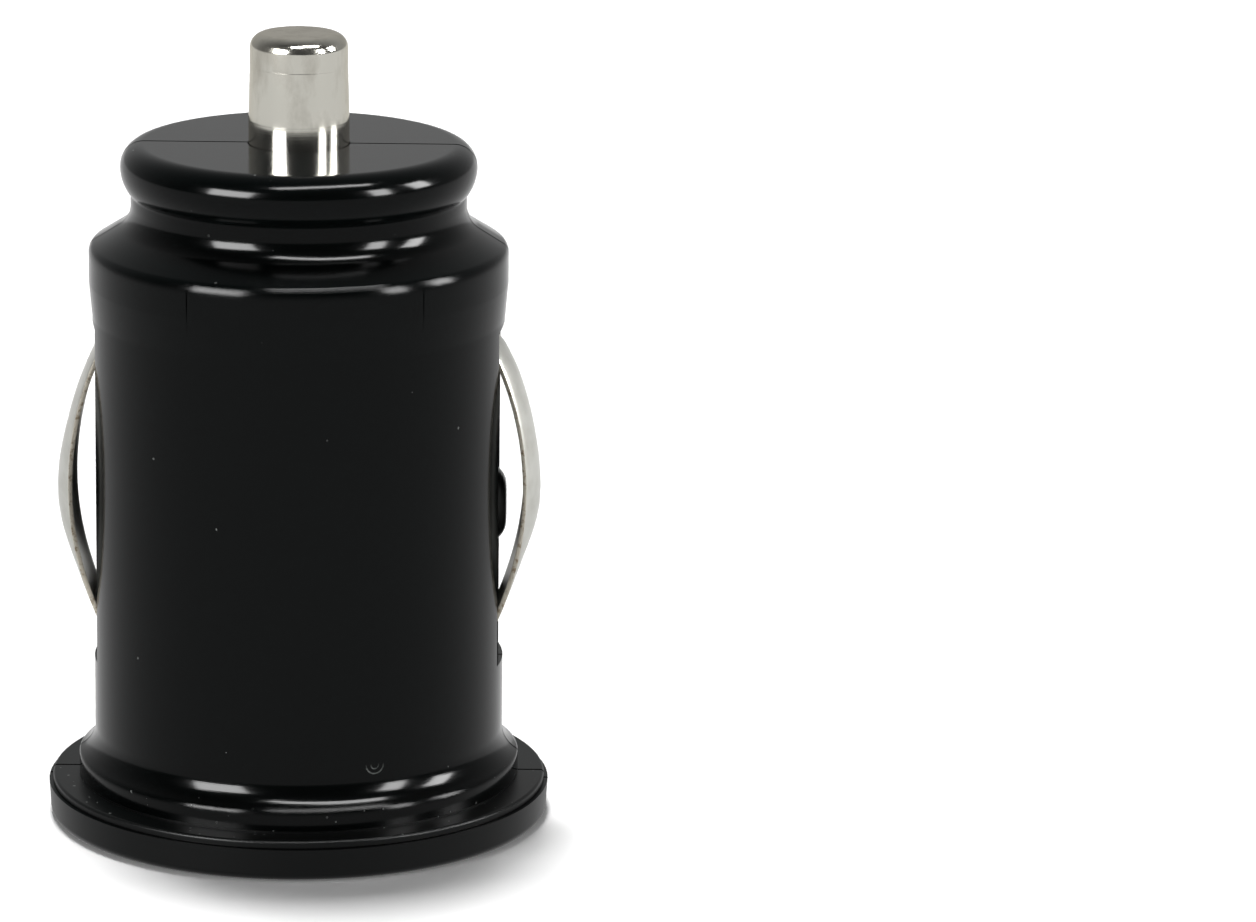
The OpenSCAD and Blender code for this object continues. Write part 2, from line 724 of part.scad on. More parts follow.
// Arched contact strip with a long bump pressed out of its middle
module contact_strip() {
    line = bow_line();
    inner = sheet_side(line, strip_t);
    last = len(inner) - 1;
    color(nickel) {
        difference() {
            strip_wide() bent_sheet(line, strip_t);
            bump_ring(strip_t);
        }
        intersection() {
            difference() {
                bump_ring(0);
                bump_ring(strip_t);
            }
            strip_wide() polygon(concat(
                [for (i = [3:last - 3]) inner[i] + [strip_t / 4, 0]],
                [[bow_reach + 2, inner[last - 3][1]], [bow_reach + 2, inner[3][1]]]
            ));
        }
    }
}

module right_contact() {
    contact_strip();
}

module left_contact() {
    mirror([1, 0, 0]) contact_strip();
}

// Spring finger in a window of a socket's wide wall, with a round dimple near its free end
module socket_finger(way) {
    lean = 2.2;
    translate([0, way * (socket_w + socket_t) / 2, window_z + window_h]) rotate([-way * lean, 0, 0]) {
        translate([-finger_w / 2, -socket_t / 2, -finger_l]) cube([finger_w, socket_t, finger_l + fit]);
        translate([0, 0, dimple_setback - finger_l]) sphere(r = dimple_r, $fn = 32);
    }
}

// Folded metal shell of one socket, open towards the face: side is -1 in front and 1 at the back
module usb_shell(side) {
    leg_root = tongue_base_h / 4;
    wall_y = (socket_w + socket_t) / 2;
    color(tin) translate([0, side * port_y, recess_z]) {
        difference() {
            linear_extrude(socket_depth - seat) difference() {
                rounded_bar(shell_l, shell_w, shell_corner_r);
                rounded_bar(socket_l, socket_w, shell_corner_r - socket_t);
            }
            for (x = [-1, 1], y = [-1, 1]) {
                translate([x * window_pitch / 2 - window_w / 2, y * wall_y - socket_t, window_z]) {
                    cube([window_w, 2 * socket_t, window_h]);
                }
            }
        }
        for (x = [-1, 1], y = [-1, 1]) translate([x * window_pitch / 2, 0, 0]) socket_finger(y);
        for (x = [-1, 1]) {
            translate([x * leg_x - socket_t / 2, -shell_leg_w / 2, socket_depth - leg_root]) {
                cube([socket_t, shell_leg_w, pin_length + leg_root]);
            }
        }
    }
}

module front_usb_shell() {
    usb_shell(-1);
}

module back_usb_shell() {
    usb_shell(1);
}

// Moulded tongue of one socket on its base, with a groove for each contact
module usb_tongue(side) {
    chamfer = tongue_chamfer;
    base_z = port_board_z - tongue_base_h;
    base_l = socket_l - 2 * tongue_base_gap;
    base_w = socket_w - 2 * tongue_base_gap;
    low = recess_z + tongue_setback;
    tongue_h = port_board_z - seat - low;
    color([0.93, 0.93, 0.92]) translate([0, side * port_y, 0]) difference() {
        union() {
            translate([0, tongue_y, low]) intersection() {
                rotate([90, 0, 0]) linear_extrude(tongue_t, center = true) polygon([
                    [chamfer - tongue_l / 2, 0], [tongue_l / 2 - chamfer, 0], [tongue_l / 2, chamfer],
                    [tongue_l / 2, tongue_h], [-tongue_l / 2, tongue_h], [-tongue_l / 2, chamfer]
                ]);
                rotate([90, 0, 90]) linear_extrude(tongue_l, center = true) polygon([
                    [chamfer - tongue_t / 2, 0], [tongue_t / 2 - chamfer, 0], [tongue_t / 2, chamfer],
                    [tongue_t / 2, tongue_h], [-tongue_t / 2, tongue_h], [-tongue_t / 2, chamfer]
                ]);
            }
            translate([0, 0, base_z - seat]) linear_extrude(tongue_base_h) {
                rounded_bar(base_l, base_w, shell_corner_r - socket_t);
            }
        }
        for (x = contact_xs) {
            translate([x - groove_w / 2, groove_y, low + blade_setback - groove_t]) {
                cube([groove_w, groove_t + tiny, socket_depth]);
            }
            translate([x - groove_w / 2, groove_y, base_z - groove_w]) {
                cube([groove_w, groove_t, tongue_base_h + 2 * groove_w]);
            }
        }
    }
}

module front_usb_tongue() {
    usb_tongue(-1);
}

module back_usb_tongue() {
    usb_tongue(1);
}

// One contact spring: bowed out of its groove near the mouth, ending in a pin through the board
module usb_contact(side, n) {
    low = recess_z + tongue_setback + blade_setback;
    y = blade_y;
    root = 2 * blade_t;
    color(brass) translate([contact_xs[n - 1], side * port_y, 0]) {
        rotate([90, 0, 90]) linear_extrude(blade_w, center = true) bent_sheet([
            [y, low],
            [y + blade_bow / 2, low + 0.12 * blade_bow_l],
            [y + blade_bow, low + 0.33 * blade_bow_l],
            [y + blade_bow, low + 0.45 * blade_bow_l],
            [y + blade_bow / 2, low + 0.71 * blade_bow_l],
            [y, low + blade_bow_l],
            [y, port_board_z - root]
        ], -blade_t);
        translate([-pin_w / 2, y - blade_t, port_board_z - root - tiny]) {
            cube([pin_w, blade_t, pin_length + root + tiny]);
        }
    }
}

// Cross board over the sockets, cut flat beside the side contacts and pierced for every pin
module port_board() {
    gap = pin_hole_gap;
    through = port_board_t + 2;
    color(board_green) difference() {
        translate([0, 0, port_board_z]) linear_extrude(port_board_t) intersection() {
            circle(port_board_r);
            square([2 * board_half, 2 * port_board_r + 1], center = true);
        }
        for (side = [-1, 1]) {
            translate([0, side * port_y, port_board_z - 1]) {
                for (x = contact_xs) {
                    translate([x - pin_w / 2 - gap, blade_y - blade_t - gap, 0]) {
                        cube([pin_w + 2 * gap, blade_t + 2 * gap, through]);
                    }
                }
                for (x = [-1, 1]) {
                    translate([x * leg_x - socket_t / 2 - gap, -shell_leg_w / 2 - gap, 0]) {
                        cube([socket_t + 2 * gap, shell_leg_w + 2 * gap, through]);
                    }
                }
            }
        }
    }
}

// Upright board that stands on the cross board behind the input capacitor
module power_board() {
    color(board_green) translate([-board_half, power_board_y, port_board_top + seat]) {
        cube([2 * board_half, power_board_t, tube_z - 3 * fit - port_board_top - seat]);
    }
}

// Lying black-sleeved capacitor whose rounded end shows in the right slot
module input_capacitor() {
    lead_t = cap_lead_t;
    back_x = input_cap_reach - input_cap_l;
    y = power_board_y - input_cap_r - 3 * seat;
    color([0.09, 0.09, 0.1]) {
        translate([input_cap_reach, y, input_cap_z]) rotate([0, -90, 0]) rotate_extrude() {
            polygon(concat(
                [[0, 0]],
                arc(input_cap_r - input_cap_edge_r, input_cap_edge_r, input_cap_edge_r, -90, 0, 9),
                [[input_cap_r, input_cap_l], [0, input_cap_l]]
            ));
        }
        for (z = [-1, 1]) {
            translate([back_x - cap_lead_l, y - lead_t / 2, input_cap_z + z * cap_lead_pitch - lead_t / 2]) {
                cube([cap_lead_l + lead_t, lead_t, lead_t]);
                cube([lead_t, power_board_y - seat - y + lead_t / 2, lead_t]);
            }
        }
    }
}

// Lying sleeved capacitor in front, just clear of the sockets' pins, on two leads bent down to the board
module output_capacitor() {
    lead_t = cap_lead_t;
    edge_r = output_cap_edge_r;
    y = power_board_y - 2 * input_cap_r - 6 * seat - output_cap_r;
    z = pins_top + output_cap_gap + output_cap_r;
    foot = port_board_top + seat;
    color([0.1, 0.12, 0.2]) {
        translate([output_cap_l / 2, y, z]) rotate([0, -90, 0]) rotate_extrude() polygon(concat(
            [[0, 0]],
            arc(output_cap_r - edge_r, edge_r, edge_r, -90, 0, 4),
            [[output_cap_r, output_cap_l], [0, output_cap_l]]
        ));
        for (side = [-1, 1]) {
            translate([-output_cap_l / 2 - cap_lead_l, y + side * cap_lead_pitch - lead_t / 2, 0]) {
                translate([0, 0, z - lead_t / 2]) cube([cap_lead_l + lead_t, lead_t, lead_t]);
                translate([0, 0, foot]) cube([lead_t, lead_t, z - foot]);
            }
        }
    }
}

choke_z = pins_top + choke_gap + choke_r;
choke_core_r = choke_r / 2;

// Drum core of the choke, one flange on the back of the upright board
module choke_core() {
    y = power_board_back + seat;
    color([0.22, 0.22, 0.23]) translate([-choke_offset, y, choke_z]) rotate([-90, 0, 0]) {
        cylinder(h = choke_flange_t, r = choke_r);
        cylinder(h = choke_l, r = choke_core_r);
        translate([0, 0, choke_l - choke_flange_t]) cylinder(h = choke_flange_t, r = choke_r);
    }
}

module choke_winding() {
    y = power_board_back + seat + choke_flange_t + seat;
    color([0.62, 0.3, 0.16]) translate([-choke_offset, y, choke_z]) rotate([-90, 0, 0]) difference() {
        cylinder(h = choke_l - 2 * choke_flange_t - 2 * seat, r = choke_r - winding_drop);
        translate([0, 0, -1]) cylinder(h = choke_l + 1, r = choke_core_r + seat);
    }
}

// Eight-legged switching regulator on the back of the upright board
module regulator_chip() {
    x = board_half - chip_edge - chip_w / 2;
    z = port_board_top + chip_rise + chip_leg_l + chip_h / 2;
    leg_z = (chip_h + chip_leg_l) / 2 - fit;
    color([0.14, 0.14, 0.15]) translate([x, power_board_back + seat, z]) {
        translate([-chip_w / 2, chip_stand, -chip_h / 2]) cube([chip_w, chip_t, chip_h]);
        for (i = [-1.5:1:1.5], side = [-1, 1]) {
            translate([i * chip_pitch - chip_leg_w / 2, 0, side * leg_z - chip_leg_l / 2]) {
                cube([chip_leg_w, chip_leg_t, chip_leg_l]);
            }
        }
    }
}

// Flat-bodied diode on the front of the upright board, beside the spring's terminal
module catch_diode() {
    root = 1.5 * fit;
    x = diode_tab_l + root - board_half;
    color([0.16, 0.16, 0.17]) translate([x, power_board_y - seat, tube_z - diode_drop - diode_h]) {
        translate([0, -diode_t - fit, 0]) cube([diode_w, diode_t, diode_h]);
        for (tab_end = [root - diode_tab_l, diode_w - root]) {
            translate([tab_end, -3 * fit, (diode_h - diode_tab_h) / 2]) {
                cube([diode_tab_l, 3 * fit, diode_tab_h]);
            }
        }
    }
}

// Small chip resistor on the front of the upright board
module chip_resistor(z) {
    color([0.12, 0.12, 0.13]) translate([resistor_edge - board_half, power_board_y - seat - resistor_t, z]) {
        cube([resistor_w, resistor_t, resistor_h]);
    }
}

module upper_resistor() {
    chip_resistor(port_board_top + resistor_rise + resistor_pitch);
}

module lower_resistor() {
    chip_resistor(port_board_top + resistor_rise);
}

front_half_shell();
back_half_shell();
face_cap();
tip_pin();
tip_spring();
spring_terminal();
left_contact();
right_contact();
front_usb_shell();
back_usb_shell();
front_usb_tongue();
back_usb_tongue();
usb_contact(-1, 1);  // front_usb_contact_1
usb_contact(-1, 2);  // front_usb_contact_2
usb_contact(-1, 3);  // front_usb_contact_3
usb_contact(-1, 4);  // front_usb_contact_4
usb_contact(1, 1);  // back_usb_contact_1
usb_contact(1, 2);  // back_usb_contact_2
usb_contact(1, 3);  // back_usb_contact_3
usb_contact(1, 4);  // back_usb_contact_4
port_board();
power_board();
input_capacitor();
output_capacitor();
choke_core();
choke_winding();
regulator_chip();
catch_diode();
upper_resistor();
lower_resistor();
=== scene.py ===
import math

import bpy
from mathutils import Matrix, Vector


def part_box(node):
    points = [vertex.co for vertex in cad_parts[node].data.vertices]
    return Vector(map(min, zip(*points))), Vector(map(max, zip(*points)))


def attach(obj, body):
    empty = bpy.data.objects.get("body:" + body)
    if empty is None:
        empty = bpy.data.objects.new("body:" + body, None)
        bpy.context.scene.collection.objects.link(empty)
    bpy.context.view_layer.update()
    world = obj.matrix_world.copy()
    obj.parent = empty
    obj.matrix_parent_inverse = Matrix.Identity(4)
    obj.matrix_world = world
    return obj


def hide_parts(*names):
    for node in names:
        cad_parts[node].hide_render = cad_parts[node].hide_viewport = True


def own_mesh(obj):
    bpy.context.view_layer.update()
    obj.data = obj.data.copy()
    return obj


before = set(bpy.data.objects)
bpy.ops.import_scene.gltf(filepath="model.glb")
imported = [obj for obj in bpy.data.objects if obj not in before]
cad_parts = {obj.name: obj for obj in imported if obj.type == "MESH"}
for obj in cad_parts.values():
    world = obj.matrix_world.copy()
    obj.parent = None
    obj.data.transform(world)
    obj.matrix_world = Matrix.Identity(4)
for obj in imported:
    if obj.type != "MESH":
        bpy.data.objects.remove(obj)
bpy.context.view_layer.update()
bpy.ops.object.select_all(action="DESELECT")
mm = 0.001
print("frame loaded:", len(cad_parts), "nodes")


# ---------- colour and material helpers

def toLinear(hexColour):
    # sRGB hex to the linear values that the shaders work in
    channels = [int(hexColour[i:i + 2], 16) / 255 for i in (1, 3, 5)]
    return tuple(c / 12.92 if c <= 0.04045 else ((c + 0.055) / 1.055) ** 2.4 for c in channels) + (1.0,)


def addNode(tree, kind, settings=None, links=None):
    # one node with its settings by socket or property name, and links as {input: (node, output)}
    node = tree.nodes.new(kind)
    for name, value in (settings or {}).items():
        if name == "stops":
            for stop, (place, colour) in zip(node.color_ramp.elements, value):
                stop.position, stop.color = place, toLinear(colour)
        elif isinstance(name, str) and hasattr(node, name):
            setattr(node, name, value)
        else:
            node.inputs[name].default_value = value
    for name, (source, output) in (links or {}).items():
        tree.links.new(source.outputs[output], node.inputs[name])
    return node


def newMaterial(name, settings):
    material = bpy.data.materials.new(name)
    material.use_nodes = True
    tree = material.node_tree
    shader = tree.nodes["Principled BSDF"]
    for socket, value in settings.items():
        shader.inputs[socket].default_value = value
    return material, tree, shader


# ---------- black housing

# Injection-moulded ABS, black, straight off a polished mould: deep gloss with a very slight waviness that bends the
# highlights, softly rolled edges and the dust that dark gloss always shows; the parting line and the mould's witness
# lines at the front are painted shade, black and without shine. The flange is rubbed duller.
blackGloss = {
    "colour": "#060909", "dust": "#888b89", "scuff": "#8a8f8c",
    "roughness": 0.13, "flangeRoughness": 0.36,
    "ior": 1.2,                                                # low, since the real one mirrors little from the front
    "waviness": 5 * mm, "wavinessHeight": 0.004 * mm,          # flow waves a few millimetres long
    "dustSpacing": 0.45 * mm, "dustSize": 0.075 * mm,          # lint and specks up to 0.15 mm across
    "dustOnBody": 0.015, "dustInGroove": 0.4,                  # share of the places that hold a speck
    "grooveMiddle": 2.6 * mm, "grooveHalf": 0.6 * mm,
    # how wide the shoulder, ring and disc roll over, and where each lies
    "softEdge": 0.8 * mm, "shoulderMiddle": 28.4 * mm, "shoulderHalf": 0.9 * mm,
    "softRing": 0.45 * mm, "ringMiddle": 3.0 * mm, "ringHalf": 0.4 * mm,
    "softDisc": 0.2 * mm, "discBottom": 29.3 * mm, "holeClear": 4.5 * mm,
    "flangeTop": 2.1 * mm, "flangeBlend": 0.1 * mm,
    # seamHalfWidth: how far the painted seam shade reaches either side of the parting plane
    "seamHalfWidth": 0.085 * mm, "seamClear": (0.3 * mm, 2.5 * mm),
    # witness lines, drawn as painted shade: two, so many degrees either side of the middle
    "lineMiddle": 4.5, "lineSpread": 33.5,
    "lineRadius": 10.3 * mm, "lineWidth": 0.03 * mm,
    "lineTop": 28.9 * mm, "lineLow": 26.7 * mm,
    "scuffPlace": (4.14 * mm, -9.39 * mm, 5.1 * mm), "scuffRadii": (0.45 * mm, 0.2 * mm), "scuffWidth": 0.035 * mm,
}


def blackGlossAbs(name, marked):
    g = blackGloss
    material, tree, shader = newMaterial(name, {"IOR": g["ior"]})
    place = addNode(tree, "ShaderNodeTexCoord")
    axes = addNode(tree, "ShaderNodeSeparateXYZ", links={"Vector": (place, "Object")})
    fromSeam = addNode(tree, "ShaderNodeMath", {"operation": "ABSOLUTE"}, {0: (axes, "Y")})

    # the shoulder, the disc's edge and the ring roll over more softly than the solid's own edges
    disc = addNode(tree, "ShaderNodeMath", {"operation": "GREATER_THAN", 1: g["discBottom"]}, {0: (axes, "Z")})
    shoulder = addNode(tree, "ShaderNodeMath", {"operation": "COMPARE", 1: g["shoulderMiddle"], 2: g["shoulderHalf"]},
                       {0: (axes, "Z")})
    ring = addNode(tree, "ShaderNodeMath", {"operation": "COMPARE", 1: g["ringMiddle"], 2: g["ringHalf"]},
                   {0: (axes, "Z")})
    discRoll = addNode(tree, "ShaderNodeMath", {"operation": "MULTIPLY", 1: g["softDisc"]}, {0: (disc, "Value")})
    upperRoll = addNode(tree, "ShaderNodeMath", {"operation": "MULTIPLY_ADD", 1: g["softEdge"]},
                        {0: (shoulder, "Value"), 2: (discRoll, "Value")})
    ringRoll = addNode(tree, "ShaderNodeMath", {"operation": "MULTIPLY_ADD", 1: g["softRing"]},
                       {0: (ring, "Value"), 2: (upperRoll, "Value")})
    offSeam = addNode(tree, "ShaderNodeMapRange", {"From Min": g["seamClear"][0], "From Max": g["seamClear"][1]},
                      {"Value": (fromSeam, "Value")})
    flat = addNode(tree, "ShaderNodeCombineXYZ", links={"X": (axes, "X"), "Y": (axes, "Y")})
    fromAxis = addNode(tree, "ShaderNodeVectorMath", {"operation": "LENGTH"}, {0: (flat, "Vector")})
    offPin = addNode(tree, "ShaderNodeMath", {"operation": "GREATER_THAN", 1: g["holeClear"]},
                     {0: (fromAxis, "Value")})
    clear = addNode(tree, "ShaderNodeMath", {"operation": "MULTIPLY"}, {0: (offSeam, "Result"), 1: (offPin, "Value")})
    roll = addNode(tree, "ShaderNodeMath", {"operation": "MULTIPLY"}, {0: (ringRoll, "Value"), 1: (clear, "Value")})
    softened = addNode(tree, "ShaderNodeBevel", {"samples": 8}, {"Radius": (roll, "Value")})
    waves = addNode(tree, "ShaderNodeTexNoise", {"Scale": 1 / g["waviness"], "Detail": 1.0},
                    {"Vector": (place, "Object")})
    bump = addNode(tree, "ShaderNodeBump", {"Strength": 0.5, "Distance": g["wavinessHeight"]},
                   {"Height": (waves, "Fac"), "Normal": (softened, "Normal")})

    # a speck sits in some cells only, and in most of them down in the groove above the flange
    cells = addNode(tree, "ShaderNodeTexVoronoi", {"Scale": 1 / g["dustSpacing"]}, {"Vector": (place, "Object")})
    chance = addNode(tree, "ShaderNodeSeparateColor", links={"Color": (cells, "Color")})
    groove = addNode(tree, "ShaderNodeMath", {"operation": "COMPARE", 1: g["grooveMiddle"], 2: g["grooveHalf"]},
                     {0: (axes, "Z")})
    share = addNode(tree, "ShaderNodeMapRange", {"To Min": g["dustOnBody"], "To Max": g["dustInGroove"]},
                    {"Value": (groove, "Value")})
    chosen = addNode(tree, "ShaderNodeMath", {"operation": "LESS_THAN"}, {0: (chance, "Red"), 1: (share, "Result")})
    size = addNode(tree, "ShaderNodeMapRange", {"To Min": 0.03, "To Max": g["dustSize"] / g["dustSpacing"]},
                   {"Value": (chance, "Green")})
    speck = addNode(tree, "ShaderNodeMath", {"operation": "LESS_THAN"}, {0: (cells, "Distance"), 1: (size, "Result")})
    dust = addNode(tree, "ShaderNodeMath", {"operation": "MULTIPLY"}, {0: (speck, "Value"), 1: (chosen, "Value")})
    fainter = addNode(tree, "ShaderNodeMath", {"operation": "MULTIPLY"}, {0: (dust, "Value"), 1: (chance, "Blue")})
    colour = addNode(tree, "ShaderNodeMix", {"data_type": "RGBA", 6: toLinear(g["colour"]), 7: toLinear(g["dust"])},
                     {0: (fainter, "Value")})

    # painted shade: along the parting plane the surface is drawn black and without shine, standing in for the shade
    # in the seam
    paintedGrooveShade = addNode(tree, "ShaderNodeMath", {"operation": "LESS_THAN", 1: g["seamHalfWidth"]},
                     {0: (fromSeam, "Value")})
    if marked:
        # scuff: two nested arcs, each the lower half of a ring about one point of the surface
        away = addNode(tree, "ShaderNodeVectorMath", {"operation": "DISTANCE", 1: g["scuffPlace"]},
                       {0: (place, "Object")})
        wobble = addNode(tree, "ShaderNodeTexNoise", {"Scale": 1 / (0.2 * mm), "Detail": 2.0},
                         {"Vector": (place, "Object")})
        below = addNode(tree, "ShaderNodeMapRange",
                        {"From Min": g["scuffPlace"][2] + 0.05 * mm, "From Max": g["scuffPlace"][2] - 0.2 * mm},
                        {"Value": (axes, "Z")})
        outer, inner = [addNode(tree, "ShaderNodeMath", {"operation": "COMPARE", 1: radius, 2: g["scuffWidth"]},
                                {0: (away, "Value")})
                        for radius in g["scuffRadii"]]
        both = addNode(tree, "ShaderNodeMath", {"operation": "ADD"}, {0: (outer, "Value"), 1: (inner, "Value")})
        lower = addNode(tree, "ShaderNodeMath", {"operation": "MULTIPLY"}, {0: (both, "Value"), 1: (below, "Result")})
        scuff = addNode(tree, "ShaderNodeMath", {"operation": "MULTIPLY"}, {0: (lower, "Value"), 1: (wobble, "Fac")})
        colour = addNode(tree, "ShaderNodeMix", {"data_type": "RGBA", 7: toLinear(g["scuff"])},
                         {0: (scuff, "Value"), 6: (colour, 2)})

        # witness lines: thin grooves down from the shoulder, where the azimuth is right, drawn as painted shade that
        # fades downwards
        backwards = addNode(tree, "ShaderNodeMath", {"operation": "MULTIPLY", 1: -1.0}, {0: (axes, "Y")})
        azimuth = addNode(tree, "ShaderNodeMath", {"operation": "ARCTAN2"}, {0: (axes, "X"), 1: (backwards, "Value")})
        fromMiddle = addNode(tree, "ShaderNodeMath", {"operation": "SUBTRACT", 1: math.radians(g["lineMiddle"])},
                             {0: (azimuth, "Value")})
        eitherSide = addNode(tree, "ShaderNodeMath", {"operation": "ABSOLUTE"}, {0: (fromMiddle, "Value")})
        onLine = addNode(tree, "ShaderNodeMath",
                         {"operation": "COMPARE", 1: math.radians(g["lineSpread"]),
                          2: g["lineWidth"] / g["lineRadius"]}, {0: (eitherSide, "Value")})
        height = addNode(tree, "ShaderNodeMapRange",
                         {"From Min": g["lineLow"], "From Max": g["lineTop"], "To Max": 1.6}, {"Value": (axes, "Z")})
        under = addNode(tree, "ShaderNodeMath", {"operation": "LESS_THAN", 1: g["lineTop"]}, {0: (axes, "Z")})
        fading = addNode(tree, "ShaderNodeMath", {"operation": "MULTIPLY", "use_clamp": True},
                         {0: (height, "Result"), 1: (under, "Value")})
        line = addNode(tree, "ShaderNodeMath", {"operation": "MULTIPLY"},
                       {0: (onLine, "Value"), 1: (fading, "Value")})
        paintedGrooveShade = addNode(tree, "ShaderNodeMath", {"operation": "MAXIMUM"}, {0: (paintedGrooveShade, "Value"), 1: (line, "Value")})
    # painted shade: the seam and witness lines turn black here, and below their shine is taken away
    colourWithPaintedShade = addNode(tree, "ShaderNodeMix", {"data_type": "RGBA", 7: (0, 0, 0, 1)},
                   {0: (paintedGrooveShade, "Value"), 6: (colour, 2)})
    shine = addNode(tree, "ShaderNodeMapRange", {"To Min": 0.5, "To Max": 0.0}, {"Value": (paintedGrooveShade, "Value")})
    rough = addNode(tree, "ShaderNodeMapRange",
                    {"From Min": g["flangeTop"] + g["flangeBlend"], "From Max": g["flangeTop"],
                     "To Min": g["roughness"], "To Max": g["flangeRoughness"]}, {"Value": (axes, "Z")})
    tree.links.new(colourWithPaintedShade.outputs[2], shader.inputs["Base Color"])
    tree.links.new(shine.outputs["Result"], shader.inputs["Specular IOR Level"])
    tree.links.new(rough.outputs["Result"], shader.inputs["Roughness"])
    tree.links.new(bump.outputs["Normal"], shader.inputs["Normal"])
    return material


backHalfAbs = blackGlossAbs("black ABS, gloss moulded", False)
frontHalfAbs = blackGlossAbs("black ABS, gloss moulded, scuffed", True)


# ---------- nickel

# Bright nickel plate on turned brass: a warm white metal with fine turning lines round the axis, duller
# cloudy patches and a few brown pinholes where it has been handled, a little darker where it curves away.
pinPlate = {
    "colour": "#c6c4bb", "dull": "#aeaba1", "pinhole": "#6a5c49", "edgeTint": "#eae7e0",
    "roughness": 0.11, "dullRoughness": 0.2,
    "turningPitch": 0.12 * mm, "patch": 1.3 * mm, "pinholeSpacing": 0.8 * mm, "pinholeSize": 0.05 * mm,
}


def turnedNickel():
    p = pinPlate
    material, tree, shader = newMaterial("nickel plate on turned brass",
                                         {"Metallic": 1.0, "Specular Tint": toLinear(p["edgeTint"])})
    place = addNode(tree, "ShaderNodeTexCoord")
    stretch = addNode(tree, "ShaderNodeMapping", {"Scale": (60, 60, 1 / p["turningPitch"])},
                      {"Vector": (place, "Object")})
    lines = addNode(tree, "ShaderNodeTexNoise", {"Scale": 1.0, "Detail": 2.0}, {"Vector": (stretch, "Vector")})
    bump = addNode(tree, "ShaderNodeBump", {"Strength": 0.25, "Distance": 0.006 * mm}, {"Height": (lines, "Fac")})
    taller = addNode(tree, "ShaderNodeMapping", {"Scale": (1, 1, 0.45)}, {"Vector": (place, "Object")})
    patches = addNode(tree, "ShaderNodeTexNoise", {"Scale": 1 / p["patch"], "Detail": 4.0, "Roughness": 0.6},
                      {"Vector": (taller, "Vector")})
    plate = addNode(tree, "ShaderNodeValToRGB", {"stops": [(0.45, p["colour"]), (0.72, p["dull"])]},
                    {"Fac": (patches, "Fac")})
    cells = addNode(tree, "ShaderNodeTexVoronoi", {"Scale": 1 / p["pinholeSpacing"]}, {"Vector": (place, "Object")})
    chance = addNode(tree, "ShaderNodeSeparateColor", links={"Color": (cells, "Color")})
    size = addNode(tree, "ShaderNodeMapRange",
                   {"From Min": 0.6, "To Min": 0.0, "To Max": p["pinholeSize"] / p["pinholeSpacing"]},
                   {"Value": (chance, "Red")})
    pinhole = addNode(tree, "ShaderNodeMath", {"operation": "LESS_THAN"},
                      {0: (cells, "Distance"), 1: (size, "Result")})
    colour = addNode(tree, "ShaderNodeMix", {"data_type": "RGBA", 7: toLinear(p["pinhole"])},
                     {0: (pinhole, "Value"), 6: (plate, "Color")})
    rough = addNode(tree, "ShaderNodeMapRange",
                    {"From Min": 0.4, "From Max": 0.72, "To Min": p["roughness"], "To Max": p["dullRoughness"]},
                    {"Value": (patches, "Fac")})
    tree.links.new(colour.outputs[2], shader.inputs["Base Color"])
    tree.links.new(rough.outputs["Result"], shader.inputs["Roughness"])
    tree.links.new(bump.outputs["Normal"], shader.inputs["Normal"])
    return material


# Rolled phosphor bronze strip, nickel plated: satin with fine rolling lines along the strip and cloudy.
bowStrip = {
    "colour": "#c1c1bb", "dull": "#b1b0a9", "roughness": 0.32, "grainWidth": 0.08 * mm, "stain": 1.1 * mm,
}


def rolledNickelStrip():
    b = bowStrip
    material, tree, shader = newMaterial("nickel plated bronze strip", {"Metallic": 1.0, "Roughness": b["roughness"]})
    place = addNode(tree, "ShaderNodeTexCoord")
    stretch = addNode(tree, "ShaderNodeMapping", {"Scale": (80, 1 / b["grainWidth"], 80)},
                      {"Vector": (place, "Object")})
    grain = addNode(tree, "ShaderNodeTexNoise", {"Scale": 1.0, "Detail": 2.0}, {"Vector": (stretch, "Vector")})
    bump = addNode(tree, "ShaderNodeBump", {"Strength": 0.3, "Distance": 0.006 * mm}, {"Height": (grain, "Fac")})
    stain = addNode(tree, "ShaderNodeTexNoise", {"Scale": 1 / b["stain"], "Detail": 4.0},
                    {"Vector": (place, "Object")})
    plate = addNode(tree, "ShaderNodeValToRGB", {"stops": [(0.4, b["colour"]), (0.75, b["dull"])]},
                    {"Fac": (stain, "Fac")})
    tree.links.new(plate.outputs["Color"], shader.inputs["Base Color"])
    tree.links.new(bump.outputs["Normal"], shader.inputs["Normal"])
    return material


# The strip's sheared sides: torn grain that scatters the light, so they look pale and dry beside the face,
# with brown tarnish in uneven spots where the plate is thin.
shearedSide = {
    "colour": "#b9b3a5", "tarnish": "#7c6c55", "spot": 0.22 * mm, "roughness": 0.6, "metal": 0.35, "tear": 0.01 * mm,
}


def shearedNickelEdge():
    e = shearedSide
    material, tree, shader = newMaterial("nickel plated bronze, sheared edge",
                                         {"Metallic": e["metal"], "Roughness": e["roughness"]})
    place = addNode(tree, "ShaderNodeTexCoord")
    spots = addNode(tree, "ShaderNodeTexNoise", {"Scale": 1 / e["spot"], "Detail": 3.0},
                    {"Vector": (place, "Object")})
    tone = addNode(tree, "ShaderNodeValToRGB", {"stops": [(0.52, e["colour"]), (0.7, e["tarnish"])]},
                   {"Fac": (spots, "Fac")})
    bump = addNode(tree, "ShaderNodeBump", {"Strength": 0.5, "Distance": e["tear"]}, {"Height": (spots, "Fac")})
    tree.links.new(tone.outputs["Color"], shader.inputs["Base Color"])
    tree.links.new(bump.outputs["Normal"], shader.inputs["Normal"])
    return material


# ---------- sockets, boards and electronics

